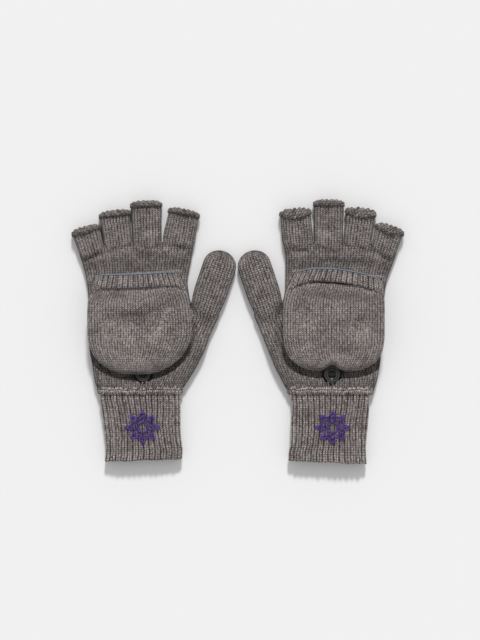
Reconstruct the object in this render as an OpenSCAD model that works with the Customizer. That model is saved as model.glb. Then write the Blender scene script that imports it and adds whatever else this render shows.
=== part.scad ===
// A pair of knitted convertible mittens, lying flat with the backs of the hands up.
// Each mitten is a hand tube with a ribbed cuff, four open half fingers with rolled edges, a closed thumb and
// a hood that folds back over the hand, where an elastic loop on its tip goes round a button.
// Millimetres. +X is to the right, +Y towards the fingertips, +Z up. The mittens stand on z = 0.

/* [Pair] */
// Distance from the middle of the pair to the middle of each cuff
mitten_offset = 84; // [84:1:110]
// Thickness of the knitted fabric
wall = 2.2; // [1.8:0.1:2.4]

/* [Cuff] */
// Width of the ribbed cuff
cuff_w = 72; // [66:1:76]
// Length of the ribbed cuff
cuff_l = 62; // [40:1:80]
// Distance between two ribs of the cuff
rib_pitch = 5.5; // [4.5:0.5:8]
// Height of the flattened cuff over its ribs
cuff_h = 13; // [12:0.5:14]

/* [Hand] */
// Height of the flattened hand
hand_h = 12; // [11.5:0.5:12]
// Length of the hand from the wrist seam to the roots of the fingers
hand_l = 133; // [130:1:136]
// Width of the hand across the palm
palm_w = 91; // [86:1:94]

/* [Fingers] */
// Width of the flattened index, middle, ring and little finger
finger_w = [27, 26, 23.6, 24.8]; // [20:0.2:28]
// Length of the same four half fingers
finger_l = [28, 34.5, 28, 19.5]; // [14:0.5:50]
// Height of the flattened finger tubes
finger_h = 10; // [9:0.5:10]
// Lean of the right mitten's fingers, positive towards the thumb
right_lean = [5, -1, -7, -17]; // [-22:1:12]
// Lean of the left mitten's fingers, positive towards the thumb
left_lean = [10, -4, -9, -17]; // [-22:1:12]
// How far the rolled edge stands out of a finger tube
roll_out = 1.2; // [0.6:0.1:1.2]
// Length of the rolled edge along a finger tube
roll_l = 4; // [2:0.5:6]

/* [Thumb] */
// Width of the thumb at its root
thumb_w = 26.8; // [24:0.2:27]
// Half the width of the thumb at its round tip
thumb_r = 14.4; // [13:0.2:15]
// Length of the thumb from its root to the middle of its round tip
thumb_l = 36; // [30:0.5:38]
// Height of the flattened thumb
thumb_h = 11.6; // [10:0.2:12]

/* [Hood] */
// Width of the hood
hood_w = 91; // [86:1:92]
// Distance from the middle of the hood's round end to the right hood's tip
right_hood_reach = 36; // [30:1:37]
// The same distance on the left hood, which reaches further over its button
left_hood_reach = 40; // [30:1:41]
// Thickness of the hood's fabric
hood_wall = 1.6; // [1.2:0.1:1.8]
// Length of the ribbed band on the hood's free edge
band_l = 12; // [8:1:16]
// Distance between two ribs of the band
band_pitch = 8.1; // [6:0.1:10]

/* [Button] */
// Distance from the wrist seam to the middle of the right mitten's button
right_button_y = 15.6; // [14:0.2:17]
// The same distance on the left mitten, whose button is further under its hood
left_button_y = 16.4; // [14:0.2:16.6]
// Diameter of the button
button_d = 15; // [12:0.5:16]
// Thickness of the button under its raised rim
button_t = 2.2; // [1.6:0.1:2.4]
// Radius of each of the button's four thread holes
hole_r = 0.9; // [0.7:0.1:1.1]
// Diameter of the elastic cord in the loop
cord_d = 1.2; // [0.8:0.1:1.4]

/* [Motif] */
// Distance across the embroidered star on the cuff
star_d = 32; // [20:1:36]

/* [Hidden] */

$fn = 48;
// Gap between two bodies that move against each other
clearance = 0.4;

yarn = "dimgray";
yarn_light = "gray";
slate = "lightslategray";
black = [0.13, 0.13, 0.14];
violet = [0.29, 0.18, 0.59];

INDEX = 0;
MIDDLE = 1;
RING = 2;
LITTLE = 3;

// Places in the mitten's own frame: x = 0 on the cuff's middle line with the thumb at -x, y = 0 on the wrist
seam_l = 3;
cuff_end = -seam_l / 2 - cuff_l;
finger_z = finger_h / 2 + roll_out;
finger_base = [
    [-30, hand_l + 3],
    [-2.4, hand_l + 1.2],
    [23.2, hand_l + 1.6],
    [47.4, hand_l - 4.6]
];

// The back of the pair is the cuffs' open ends, and its front the rolled edge of the longest finger
function finger_front(i, lean) = finger_base[i].y + finger_l[i] * cos(lean)
    + (finger_w[i] / 2 + roll_out) * sin(abs(lean));
function longest_front(lean) = max([for (i = [INDEX : LITTLE]) finger_front(i, lean[i])]);
pair_front = max(longest_front(left_lean), longest_front(right_lean));
pair_y = -(pair_front + cuff_end) / 2;

edge_soft = 3;
palm_side = 49;
crotch = [palm_side - palm_w - 2.5, 82];
palm_outline = [
    [-cuff_w / 2, seam_l / 2], [cuff_w / 2, seam_l / 2], [44, 30], [47.5, 47], [palm_side, 104],
    [palm_side - palm_w, 104], [palm_side - palm_w, 90], crotch, [-40, 5]
];
knuckle_outline = [
    [palm_side - palm_w, 96], [palm_side, 96], [59, hand_l - 9.4], [35.4, hand_l - 1.8], [-43.5, hand_l]
];

// The gusset widens the hand from the wrist to the thumb's root, and its front edge is square to the thumb
thumb_lean = 18.5;
thumb_base = crotch - (thumb_w / 2 + clearance) * [cos(thumb_lean), sin(thumb_lean)];
gusset_outline = [
    [-38, 3], [-30, 10], [-30, crotch.y], crotch,
    crotch - (thumb_w + 2 * clearance) * [cos(thumb_lean), sin(thumb_lean)], [-56, 40]
];
thumb_outline = concat(
    [[-thumb_w / 2, clearance], [thumb_w / 2, clearance]],
    [for (a = [0 : 12 : 180]) [0, thumb_l] + thumb_r * [cos(a), sin(a)]]
);

// The hood's fold line leans a little, down towards the little finger
fold_middle = [7.4, 106.2];
fold_lean = -3.8;
hood_z = 12.9;
hood_h = 8.2;
hood_split = hood_z + hood_h / 2;
hood_soft = 2.4;
hood_middle = [2.2, 56];
hood_round = 2.5;
mouth = [-33.4, 34.6];
trim_l = 1;
hood_cavity_z = hood_z + hood_wall;
hood_cavity_h = hood_h - 2 * hood_wall;

function super(a, n) = sign(a) * pow(abs(a), 2 / n);
function hood_outline(reach) = concat(
    [for (a = [180 : 10 : 360])
        hood_middle + [hood_w / 2 * super(cos(a), hood_round), reach * super(sin(a), hood_round)]],
    [[46.4, fold_middle.y - 2.6], [-31.3, fold_middle.y + 2.55], [-39.6, fold_middle.y - 8]]
);

right_button = [0.5, right_button_y];
left_button = [0.5, left_button_y];
button_z = hand_h + 1;
rim_h = 0.8;
rim_w = 1.4;
hole_spread = 2.1;
thread_r = 0.5;
dent_r = button_d / 2 + 1.8;
loop_r = button_d / 2 + 0.6 + cord_d / 2;
loop_z = button_z + 1.2;
loop_gap = 1;

star_at = [1, cuff_end + 31.5];
star_t = 1.2;

function unit(v) = v / norm(v);
// The direction square to the edge from p to q, out of an outline that runs counter-clockwise
function outward(p, q) = unit([q.y - p.y, p.x - q.x]);

// A convex outline moved inwards by d, its points in counter-clockwise order
function inset(points, d) = [
    for (i = [0 : len(points) - 1])
        let (
            before = points[(i + len(points) - 1) % len(points)],
            after = points[(i + 1) % len(points)],
            m = outward(before, points[i]),
            n = outward(points[i], after)
        )
        points[i] - d * (m + n) / (1 + m * n)
];

// A slab of the given outline with softened edges above and below
module soft_slab(points, z, h, soft) {
    hull() {
        translate([0, 0, z + soft]) linear_extrude(h - 2 * soft) polygon(points);
        translate([0, 0, z]) linear_extrude(h) polygon(inset(points, soft));
    }
}

module stadium(w, h) {
    square([w - h, h], center = true);
    for (side = [-1, 1]) translate([side * (w - h) / 2, 0]) circle(d = h);
}

// A flattened tube along +y
module flat_tube(w, h, thick, length) {
    rotate([90, 0, 180]) linear_extrude(length) difference() {
        stadium(w, h);
        stadium(w - 2 * thick, h - 2 * thick);
    }
}

module hand(lean) {
    color(yarn) difference() {
        union() {
            soft_slab(palm_outline, 0, hand_h, edge_soft);
            soft_slab(knuckle_outline, 0, hand_h, edge_soft);
            soft_slab(gusset_outline, 0, hand_h, edge_soft);
        }
        translate([0, 0, wall]) linear_extrude(hand_h - 2 * wall) {
            polygon(inset(palm_outline, wall));
            polygon(inset(knuckle_outline, wall));
            polygon(inset(gusset_outline, wall));
        }
        wrist_passage();
        thumb_passage();
        for (i = [INDEX : LITTLE]) finger_passage(i, lean[i]);
    }
}

module wrist_passage() {
    translate([-cuff_w / 2 + edge_soft, 0, wall]) cube([cuff_w - 2 * edge_soft, 3 * wall, hand_h - 2 * wall]);
}

module at_thumb() {
    translate([thumb_base.x, thumb_base.y, 0]) rotate([0, 0, thumb_lean]) children();
}

module thumb_passage() {
    back = 9;
    at_thumb() translate([0, -back, thumb_h / 2]) rotate([90, 0, 180])
        linear_extrude(2 * back) stadium(thumb_w - 2 * wall, thumb_h - 2 * wall);
}

module at_finger(i, lean) {
    translate([finger_base[i].x, finger_base[i].y, finger_z]) rotate([0, 0, lean]) children();
}

module finger_passage(i, lean) {
    back = 9;
    at_finger(i, lean) translate([0, -back, 0]) rotate([90, 0, 180])
        linear_extrude(2 * back) stadium(finger_w[i] - 2 * wall, finger_h - 2 * wall);
}

// A half finger: an open tube that ends in the roll of its own edge
module finger(i, lean) {
    color(yarn) at_finger(i, lean) {
        flat_tube(finger_w[i], finger_h, wall, finger_l[i] - roll_l);
        translate([0, finger_l[i] - roll_l, 0])
            flat_tube(finger_w[i] + 2 * roll_out, finger_h + 2 * roll_out, wall + roll_out, roll_l);
    }
}

module thumb() {
    color(yarn) difference() {
        at_thumb() soft_slab(thumb_outline, 0, thumb_h, edge_soft);
        at_thumb() translate([0, 0, wall])
            linear_extrude(thumb_h - 2 * wall) polygon(inset(thumb_outline, wall));
        thumb_passage();
    }
}

module cuff() {
    rib_r = 1;
    shell_h = cuff_h - 2 * rib_r;
    flat_w = cuff_w - shell_h - rib_pitch;
    ribs = floor(flat_w / rib_pitch / 2);
    color(yarn) translate([0, cuff_end, 0]) {
        translate([0, 0, cuff_h / 2]) flat_tube(cuff_w, shell_h, wall, cuff_l);
        for (i = [-ribs : ribs], z = [rib_r, cuff_h - rib_r])
            translate([i * rib_pitch, 0, z]) rotate([-90, 0, 0]) cylinder(r = rib_r, h = cuff_l);
    }
}

module wrist_seam() {
    color(yarn) translate([0, -seam_l / 2, cuff_h / 2]) flat_tube(cuff_w + 1.6, cuff_h, wall + 1, seam_l);
}

// The fold line's frame: x along it and y away from the hood
module at_fold() {
    translate(fold_middle) rotate([0, 0, fold_lean]) children();
}

module behind_fold(from, to) {
    at_fold() translate([-hood_w, -to]) square([2 * hood_w, to - from]);
}

module hood_plan(reach, from, to = 2 * hood_w, inwards = 0) {
    intersection() {
        polygon(inset(hood_outline(reach), inwards));
        behind_fold(from, to);
    }
}

// One layer of the hood, softened around its outer face: the whole outline starts at full_z
module hood_layer(reach, from, full_z, z) {
    hull() {
        translate([0, 0, full_z]) linear_extrude(hood_h / 2 - hood_soft) hood_plan(reach, from);
        translate([0, 0, z]) linear_extrude(hood_h / 2) hood_plan(reach, from, inwards = hood_soft);
    }
}

// What the pocket holds, open at the fold and stepped over the button
module hood_cavity(reach, button_at) {
    difference() {
        translate([0, 0, hood_cavity_z])
            linear_extrude(hood_cavity_h) polygon(inset(hood_outline(reach), hood_wall));
        translate([button_at.x, button_at.y, 0])
            cylinder(r = dent_r + hood_wall, h = hood_split + hood_wall);
    }
    at_fold() translate([mouth[0], -8, hood_cavity_z]) cube([mouth[1] - mouth[0], 10, hood_cavity_h]);
}

module button_dent(button_at) {
    translate([button_at.x, button_at.y, 0]) cylinder(r = dent_r, h = hood_split);
}

// The layer that lies on the hand, and on the fingers when the hood is closed
module hood_back(reach, button_at) {
    color(yarn) difference() {
        hood_layer(reach, 0, hood_z + hood_soft, hood_z);
        hood_cavity(reach, button_at);
        button_dent(button_at);
    }
}

// The layer that lies on top while the hood is folded back
module hood_front(reach, button_at) {
    color(yarn) difference() {
        hood_layer(reach, band_l, hood_split, hood_split);
        hood_cavity(reach, button_at);
    }
}

module hood_rib_band(reach, button_at) {
    rib_r = 1.2;
    skin_h = hood_h / 2 - rib_r / 2;
    ribs = 4;
    color(yarn_light) difference() {
        union() {
            translate([0, 0, hood_split]) linear_extrude(skin_h) hood_plan(reach, trim_l, band_l);
            at_fold() for (i = [-ribs : ribs])
                translate([i * band_pitch, -band_l, hood_z + hood_h - rib_r])
                    rotate([-90, 0, 0]) cylinder(r = rib_r, h = band_l - trim_l);
        }
        hood_cavity(reach, button_at);
    }
}

module hood_edge_trim(reach) {
    trim_h = 1.5;
    color(slate) translate([0, 0, hood_z + hood_h - trim_h - 0.2])
        linear_extrude(trim_h) hood_plan(reach, 0, trim_l);
}

// The line of stitches that holds the hood to the back of the hand
module hood_seam() {
    line_l = 76;
    line_w = 2.8;
    color(yarn) at_fold() translate([-line_l / 2, -line_w / 2, hand_h]) cube([line_l, line_w, 0.5]);
}

module at_button_holes() {
    for (x = [-1, 1], y = [-1, 1]) translate([x * hole_spread, y * hole_spread, 0]) children();
}

module button(button_at) {
    color(black) translate([button_at.x, button_at.y, button_z]) difference() {
        cylinder(d = button_d, h = button_t + rim_h);
        translate([0, 0, button_t]) cylinder(d = button_d - 2 * rim_w, h = 2 * rim_h);
        at_button_holes() translate([0, 0, -1]) cylinder(r = hole_r, h = button_t + 2);
    }
}

module button_thread(button_at) {
    thread_h = button_z + button_t - hand_h + thread_r;
    color(black) translate([button_at.x, button_at.y, hand_h]) {
        at_button_holes() cylinder(r = thread_r, h = thread_h);
        for (y = [-hole_spread, hole_spread]) {
            translate([-hole_spread, y, thread_h])
                rotate([0, 90, 0]) cylinder(r = thread_r, h = 2 * hole_spread);
            for (x = [-hole_spread, hole_spread]) translate([x, y, thread_h]) sphere(r = thread_r);
        }
    }
}

// An elastic cord from the hood's tip round the button: legs down to the button's middle where the tip is
// above it, and otherwise only as much of the arc as shows below the tip
module button_loop(reach, button_at) {
    leg_l = hood_middle.y - reach - loop_gap - button_at.y;
    hidden = asin(max(0, -leg_l) / loop_r);
    color(black) translate([button_at.x, button_at.y, loop_z]) {
        rotate([0, 0, 180 + hidden])
            rotate_extrude(angle = 180 - 2 * hidden) translate([loop_r, 0]) circle(d = cord_d);
        for (side = [-1, 1]) translate([side * loop_r * cos(hidden), 0, 0]) {
            if (leg_l > 0) {
                rotate([-90, 0, 0]) cylinder(d = cord_d, h = leg_l);
                translate([0, leg_l, 0]) sphere(d = cord_d);
            }
        }
    }
}

module cuff_star() {
    points = 8;
    color(violet) translate([star_at.x, star_at.y, cuff_h]) linear_extrude(star_t) polygon([
        for (i = [0 : 2 * points - 1])
            star_d / 2 * (i % 2 == 0 ? 1 : 0.56) * [cos(i * 180 / points), sin(i * 180 / points)]
    ]);
}

module right() {
    translate([mitten_offset, pair_y, 0]) children();
}

module left() {
    mirror([1, 0, 0]) right() children();
}

left() hand(left_lean);  // left_hand
left() cuff();  // left_cuff
left() wrist_seam();  // left_wrist_seam
left() finger(INDEX, left_lean[INDEX]);  // left_index_finger
left() finger(MIDDLE, left_lean[MIDDLE]);  // left_middle_finger
left() finger(RING, left_lean[RING]);  // left_ring_finger
left() finger(LITTLE, left_lean[LITTLE]);  // left_little_finger
left() thumb();  // left_thumb
left() hood_back(left_hood_reach, left_button);  // left_hood_back
left() hood_front(left_hood_reach, left_button);  // left_hood_front
left() hood_rib_band(left_hood_reach, left_button);  // left_hood_rib_band
left() hood_edge_trim(left_hood_reach);  // left_hood_edge_trim
left() hood_seam();  // left_hood_seam
left() button(left_button);
left() button_thread(left_button);  // left_button_thread
left() button_loop(left_hood_reach, left_button);  // left_button_loop
left() cuff_star();  // left_cuff_star

right() hand(right_lean);  // right_hand
right() cuff();  // right_cuff
right() wrist_seam();  // right_wrist_seam
right() finger(INDEX, right_lean[INDEX]);  // right_index_finger
right() finger(MIDDLE, right_lean[MIDDLE]);  // right_middle_finger
right() finger(RING, right_lean[RING]);  // right_ring_finger
right() finger(LITTLE, right_lean[LITTLE]);  // right_little_finger
right() thumb();  // right_thumb
right() hood_back(right_hood_reach, right_button);  // right_hood_back
right() hood_front(right_hood_reach, right_button);  // right_hood_front
right() hood_rib_band(right_hood_reach, right_button);  // right_hood_rib_band
right() hood_edge_trim(right_hood_reach);  // right_hood_edge_trim
right() hood_seam();  // right_hood_seam
right() button(right_button);
right() button_thread(right_button);  // right_button_thread
right() button_loop(right_hood_reach, right_button);  // right_button_loop
right() cuff_star();  // right_cuff_star
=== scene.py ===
"""A pair of knitted convertible mittens on a plain floor, seen straight from above.

Shapes are worked out in a mitten's own frame, in millimetres: x = 0 is the cuff's middle line with the
thumb at -x, y = 0 is the wrist seam with the fingertips at +y, and z = 0 is the floor. The right mitten is
placed in the row frame as it is, and the left one is its mirror image. Every knitted piece carries a UV map
named "knit" that counts wales (columns of stitches) along U and courses (rows of stitches) along V.
"""

import math

import bmesh
import bpy
import numpy as np
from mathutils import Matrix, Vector


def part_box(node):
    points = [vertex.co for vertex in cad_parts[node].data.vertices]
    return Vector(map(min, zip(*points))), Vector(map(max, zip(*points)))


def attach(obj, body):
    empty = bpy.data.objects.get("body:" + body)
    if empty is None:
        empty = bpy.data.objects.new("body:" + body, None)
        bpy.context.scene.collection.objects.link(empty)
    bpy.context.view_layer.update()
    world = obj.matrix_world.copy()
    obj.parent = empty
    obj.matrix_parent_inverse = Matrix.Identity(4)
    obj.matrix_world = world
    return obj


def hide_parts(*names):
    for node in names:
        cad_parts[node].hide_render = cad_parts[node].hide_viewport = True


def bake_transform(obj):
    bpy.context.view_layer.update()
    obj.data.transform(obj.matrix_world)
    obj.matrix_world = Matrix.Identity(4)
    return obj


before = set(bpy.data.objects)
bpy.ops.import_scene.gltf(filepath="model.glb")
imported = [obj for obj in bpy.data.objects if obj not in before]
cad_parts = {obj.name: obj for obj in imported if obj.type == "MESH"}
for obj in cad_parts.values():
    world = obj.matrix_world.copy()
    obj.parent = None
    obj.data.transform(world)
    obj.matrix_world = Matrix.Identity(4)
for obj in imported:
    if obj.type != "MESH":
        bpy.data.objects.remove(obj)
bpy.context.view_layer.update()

MM = 0.001
SIDES = {"left": -1, "right": 1}
FINGERS = ("index", "middle", "ring", "little")

# ---- Sizes of the knit, in millimetres
WALE = 2.5
COURSE = 1.95
FABRIC = 1.8
RELIEF = 0.5
POINTS_PER_WALE = 4
ROW_STEP = COURSE / 2

# ---- The mitten's own frame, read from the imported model
cuff_low, cuff_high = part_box("right_cuff")
hand_low, hand_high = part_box("right_hand")
hood_low, hood_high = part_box("right_hood_back")
star_low, star_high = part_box("right_cuff_star")
SEAM_HALF = 1.5
OFFSET_X = (cuff_low[0] + cuff_high[0]) / 2 / MM
OFFSET_Y = cuff_high[1] / MM + SEAM_HALF
CUFF_L = (cuff_high[1] - cuff_low[1]) / MM
HAND_H = hand_high[2] / MM
HOOD_Z = hood_low[2] / MM
FOLD_Z = hood_high[2] / MM

# ---- Fingers: where each one starts, its width at its root and at its edge, its length, and its lean
# towards the thumb, in degrees
FINGER_BASE = {
    "left": {"index": (-31.2, 136), "middle": (-2.9, 134.2), "ring": (23.4, 134.6), "little": (47.4, 128.4)},
    "right": {"index": (-30, 136), "middle": (-2.4, 134.2), "ring": (23.4, 134.6), "little": (47.4, 128.4)},
}
FINGER_W = {
    "left": {"index": (29.4, 27.6), "middle": (26.4, 27.4), "ring": (25.8, 27.2), "little": (24, 25.6)},
    "right": {"index": (28, 27.6), "middle": (26.2, 26.8), "ring": (25.6, 26.8), "little": (24, 25.6)},
}
FINGER_L = {
    "left": {"index": 28.4, "middle": 37, "ring": 28.4, "little": 21},
    "right": {"index": 28.4, "middle": 38.6, "ring": 30.4, "little": 22},
}
LEAN = {
    "left": {"index": 11, "middle": -1.5, "ring": -7, "little": -16},
    "right": {"index": 5, "middle": -0.5, "ring": -7, "little": -17},
}
FINGER_H = 11.4
# How square a finger's or the thumb's flattened section is: 2 is an ellipse
TUBE_ROUND = 2.6
THUMB_LEAN = 18.5
THUMB_BASE = {"left": (-56.1, 77.8), "right": (-57.3, 77.8)}
THUMB_L = 36
THUMB_R = 14.4

# ---- Hood: its fold line, its round end and how far each side's tip reaches
FOLD_AT = (7.4, 106.2)
FOLD_LEAN = -3.8
HOOD_MIDDLE = (2.2, 56)
HOOD_REACH = {"left": 40.6, "right": 38}
# How square the hood's round end is, on the thumb side and on the little-finger side
HOOD_ROUND = {"left": (1.95, 2.45), "right": (2.8, 3.0)}
BUTTON_AT = {"left": (0.5, 16.4), "right": (0.5, 15.6)}
BUTTON_R = 7.5
STAR_AT = (
    (star_low[0] + star_high[0]) / 2 / MM - OFFSET_X,
    (star_low[1] + star_high[1]) / 2 / MM - OFFSET_Y,
)
STAR_R = (star_high[0] - star_low[0]) / 2 / MM


# ======== Small helpers

def to_row(side, points):
    """Points in a mitten's own frame, in millimetres, as points in the row frame, in metres."""
    p = np.asarray(points, float)
    out = np.empty_like(p)
    out[..., 0] = SIDES[side] * (OFFSET_X + p[..., 0])
    out[..., 1] = OFFSET_Y + p[..., 1]
    out[..., 2] = p[..., 2]
    return out * MM


def xyz(x, y, z):
    """Points from their x, y and z, any of which may be one number for all of them."""
    return np.stack(np.broadcast_arrays(x, y, z), -1)


def bell(x, middle, width):
    """1 at middle, and falling away smoothly on both sides of it."""
    return np.exp(-(((x - middle) / width) ** 2))


def ramp(x, low, high):
    """0 below low, 1 above high, and smooth between them."""
    t = np.clip((np.asarray(x, float) - low) / (high - low), 0, 1)
    return t * t * (3 - 2 * t)


def curve_through(stations, y):
    """A smooth value at y through (y, value) stations, with no overshoot between them."""
    ys, vs = (np.array(c, float) for c in zip(*stations))
    steps = np.diff(vs) / np.diff(ys)
    slopes = np.zeros(len(ys))
    both = steps[:-1] * steps[1:] > 0
    slopes[1:-1][both] = 2 / (1 / steps[:-1][both] + 1 / steps[1:][both])
    slopes[0], slopes[-1] = steps[0], steps[-1]
    y = np.clip(np.asarray(y, float), ys[0], ys[-1])
    i = np.clip(np.searchsorted(ys, y, side="right") - 1, 0, len(ys) - 2)
    h = ys[i + 1] - ys[i]
    t = (y - ys[i]) / h
    return (
        (2 * t**3 - 3 * t**2 + 1) * vs[i] + (t**3 - 2 * t**2 + t) * h * slopes[i]
        + (3 * t**2 - 2 * t**3) * vs[i + 1] + (t**3 - t**2) * h * slopes[i + 1]
    )


def wander(x, y, seed, size):
    """A smooth field of hills and hollows between about -1 and 1, each some size across."""
    rng = np.random.default_rng(seed)
    total = np.zeros(np.broadcast(x, y).shape)
    waves = 9
    for _ in range(waves):
        angle, phase = rng.uniform(0, 2 * math.pi, 2)
        k = 2 * math.pi / (size * rng.uniform(0.7, 1.8))
        total += np.sin(k * (np.asarray(x) * math.cos(angle) + np.asarray(y) * math.sin(angle)) + phase)
    return total / math.sqrt(waves) / 1.6


def hollow(x, y, at, size, lean=0.0):
    """A smooth bump of height 1 at a place, turned by lean degrees.

    size is its half length and its half width, or its half widths towards the fingers and towards the wrist.
    """
    c, s = math.cos(math.radians(lean)), math.sin(math.radians(lean))
    dx, dy = np.asarray(x) - at[0], np.asarray(y) - at[1]
    along, across = dx * c + dy * s, -dx * s + dy * c
    return np.exp(-(along / size[0]) ** 2 - (across / np.where(across > 0, size[1], size[-1])) ** 2)


def dents(places, x, y):
    """How deep a list of hollows, each (at, size, lean, depth), presses a surface in at x and y."""
    return sum(deep * hollow(x, y, at, size, lean) for at, size, lean, deep in places)


def power(a, n):
    return np.sign(a) * np.abs(a) ** n


def evenly(shares, half_w, half_h, roundness, turn):
    """x and z at shares, 0 to 1, of the way along a rounded flat section through the angles turn."""
    x = half_w * power(np.cos(turn), 2 / roundness)
    z = half_h * power(np.sin(turn), 2 / roundness)
    far = np.concatenate([[0], np.cumsum(np.hypot(np.diff(x), np.diff(z)))])
    return np.interp(shares * far[-1], far, x), np.interp(shares * far[-1], far, z)


def ring(count, half_w, half_h, roundness):
    """count points evenly round a rounded flat section, from the middle of its underside to the right."""
    turn = np.linspace(-math.pi / 2, 1.5 * math.pi, 8 * count + 1)
    return evenly(np.linspace(0, 1, count + 1)[:-1], half_w, half_h, roundness, turn)


def around(half_w, half_h):
    """About how long the line round a flat section is."""
    return 4 * (half_w + half_h) - 1.4 * (half_h + half_h)


def stitches(wales, courses):
    """The height of stockinette stitches, 0 to 1: two slanted legs in each wale, one pair in each course."""
    off = np.abs(wales % 1 - 0.5) * 2
    leg = (1 - off**4) * (1 - 0.35 * (1 - off) ** 5)
    return leg * (0.5 + 0.5 * np.abs(np.sin(math.pi * (courses + 0.8 * off))))


def grid_normals(p):
    """Unit normals of a grid of points whose columns go round."""
    along = np.roll(p, -1, 0) - np.roll(p, 1, 0)
    along[0], along[-1] = p[1] - p[0], p[-1] - p[-2]
    across = np.roll(p, -1, 1) - np.roll(p, 1, 1)
    n = np.cross(across, along)
    return n / np.maximum(np.linalg.norm(n, axis=2, keepdims=True), 1e-9)


def knitted(outer, wales, courses, relief=RELIEF):
    """The same grid of points with stitches raised on it."""
    height = relief * (stitches(wales[None, :-1], courses[:, None]) - 0.5)
    return outer + grid_normals(outer) * height[..., None]


def stitch_columns(count):
    """The wales at count points round a tube, and at the first point again."""
    return np.arange(count + 1) / POINTS_PER_WALE


# ======== Making pieces

def put(name, data):
    """A new object in the scene."""
    made = bpy.data.objects.new(name, data)
    bpy.context.scene.collection.objects.link(made)
    return made


def build(side, name, points, faces, uv, material, body, replaces=()):
    """A piece from points in the mitten's own frame. uv has one pair for each corner of each face."""
    flip = SIDES[side] < 0
    mesh = bpy.data.meshes.new(f"{side}_{name}")
    if flip:
        faces = [f[::-1] for f in faces]
        uv = None if uv is None else [c[::-1] for c in uv]
    mesh.from_pydata(to_row(side, points).tolist(), [], faces)
    if uv is not None:
        layer = mesh.uv_layers.new(name="knit")
        layer.uv.foreach_set("vector", np.concatenate([np.asarray(c, np.float32).ravel() for c in uv]))
    mesh.polygons.foreach_set("use_smooth", np.ones(len(mesh.polygons), bool))
    mesh.materials.append(material)
    mesh.update()
    piece = put(f"{side}_{name}", mesh)
    if body is not None:
        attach(piece, f"{side}_{body}")
    if replaces:
        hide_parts(*[f"{side}_{node}" for node in replaces])
    return piece


def quads(grid):
    """The four corners of each cell of a grid."""
    return np.stack([grid[:-1, :-1], grid[:-1, 1:], grid[1:, 1:], grid[1:, :-1]], 2)


def grid_piece(side, name, p, wales, courses, material, body, replaces=(), close="ends"):
    """A piece from a grid of points, rows by columns.

    close is "ends" where the columns go round and the first and last rows are closed over, "ring" where rows
    and columns both go round, and "strip" where the rows go round and the two end columns are closed over.
    wales is for all rows or for each row, and has the first column's value again where the columns go round.
    """
    rows, columns = p.shape[:2]
    index = np.arange(rows * columns).reshape(rows, columns)
    lines = index if close == "strip" else np.concatenate([index, index[:, :1]], 1)
    u, v = np.broadcast_to(wales, lines.shape), courses
    if close != "ends":
        lines, u, v = np.concatenate([lines, lines[:1]]), np.concatenate([u, u[:1]]), np.append(v, v[0])
    corners = quads(np.stack([u, np.broadcast_to(v[:, None], u.shape)], -1))
    faces, uv = quads(lines).reshape(-1, 4).tolist(), list(corners.reshape(-1, 4, 2))
    caps = {
        "ring": (),
        "ends": ((index[0, ::-1], (u[0, 0], v[0])), (index[-1], (u[-1, 0], v[-1]))),
        "strip": ((index[:, 0], (u[0, 0], 0.0)), (index[::-1, -1], (u[0, -1], 0.0))),
    }
    for line, at in caps[close]:
        faces.append(line.tolist())
        uv.append(np.tile(at, (len(line), 1)))
    return build(side, name, p.reshape(-1, 3), faces, uv, material, body, replaces)


def lip(fabric, skin, inner, before):
    """The rounded edge between two skins, past the outer one's last row, given the row before that."""
    out = (skin - before) / np.linalg.norm(skin - before, axis=1, keepdims=True)
    return ((skin + inner) / 2 + out * fabric * 0.35)[None]


def sleeve(side, name, outer, wales, courses, middle, fabric, material, node, relief=RELIEF):
    """An open knitted tube: its outer skin, a rounded edge, and its inner skin, nearer to the middle."""
    half = np.maximum(np.abs(outer - middle).max(1, keepdims=True), 0.1)
    inner = middle + (outer - middle) * (1 - fabric / half)
    sparse = np.unique(np.concatenate([np.arange(0, len(outer), 5), [len(outer) - 1]]))[::-1]
    skin = knitted(outer, wales, courses, relief)
    p = np.concatenate([skin, lip(fabric, outer[-1], inner[-1], outer[-2]), inner[sparse]])
    v = np.concatenate([courses, [courses[-1] + 1], courses[sparse] + 2])
    return grid_piece(side, name, p, wales, v, material, "mitten", (node,), "ring")


def pouch(side, name, outer, wales, courses, middle, fabric, material, body, nodes):
    """A knitted tube closed at its last row: an outer skin and an inner one, joined at the open end."""
    half = np.maximum(np.abs(outer - middle).max(1, keepdims=True), 0.1)
    inner = middle + (outer - middle) * np.maximum(1 - fabric / half, 0.05)
    sparse = np.arange(0, len(outer) - 6, 5)[::-1]
    skin = knitted(outer, wales, courses)
    p = np.concatenate([inner[sparse], lip(fabric, outer[0], inner[0], outer[1]), skin])
    v = np.concatenate([courses[sparse], [courses[0] - 1], courses])
    return grid_piece(side, name, p, wales, v, material, body, nodes)


def cord_points(path, radius, sides=10, bumps=None):
    """A closed tube's rings along a path, as a grid. bumps gives each ring and side its own radius factor."""
    path = np.asarray(path, float)
    along = np.gradient(path, axis=0)
    along /= np.linalg.norm(along, axis=1, keepdims=True)
    up = np.tile([0.0, 0.0, 1.0], (len(path), 1))
    flat = np.abs(along[:, 2]) > 0.95
    up[flat] = [0.0, 1.0, 0.0]
    right = np.cross(along, up)
    right /= np.linalg.norm(right, axis=1, keepdims=True)
    up = np.cross(right, along)
    t = np.linspace(0, 2 * math.pi, sides, endpoint=False)
    r = np.full((len(path), sides), float(radius)) if bumps is None else radius * bumps
    return path[:, None] + r[..., None] * (
        right[:, None] * np.cos(t)[None, :, None] + up[:, None] * np.sin(t)[None, :, None]
    )


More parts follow.
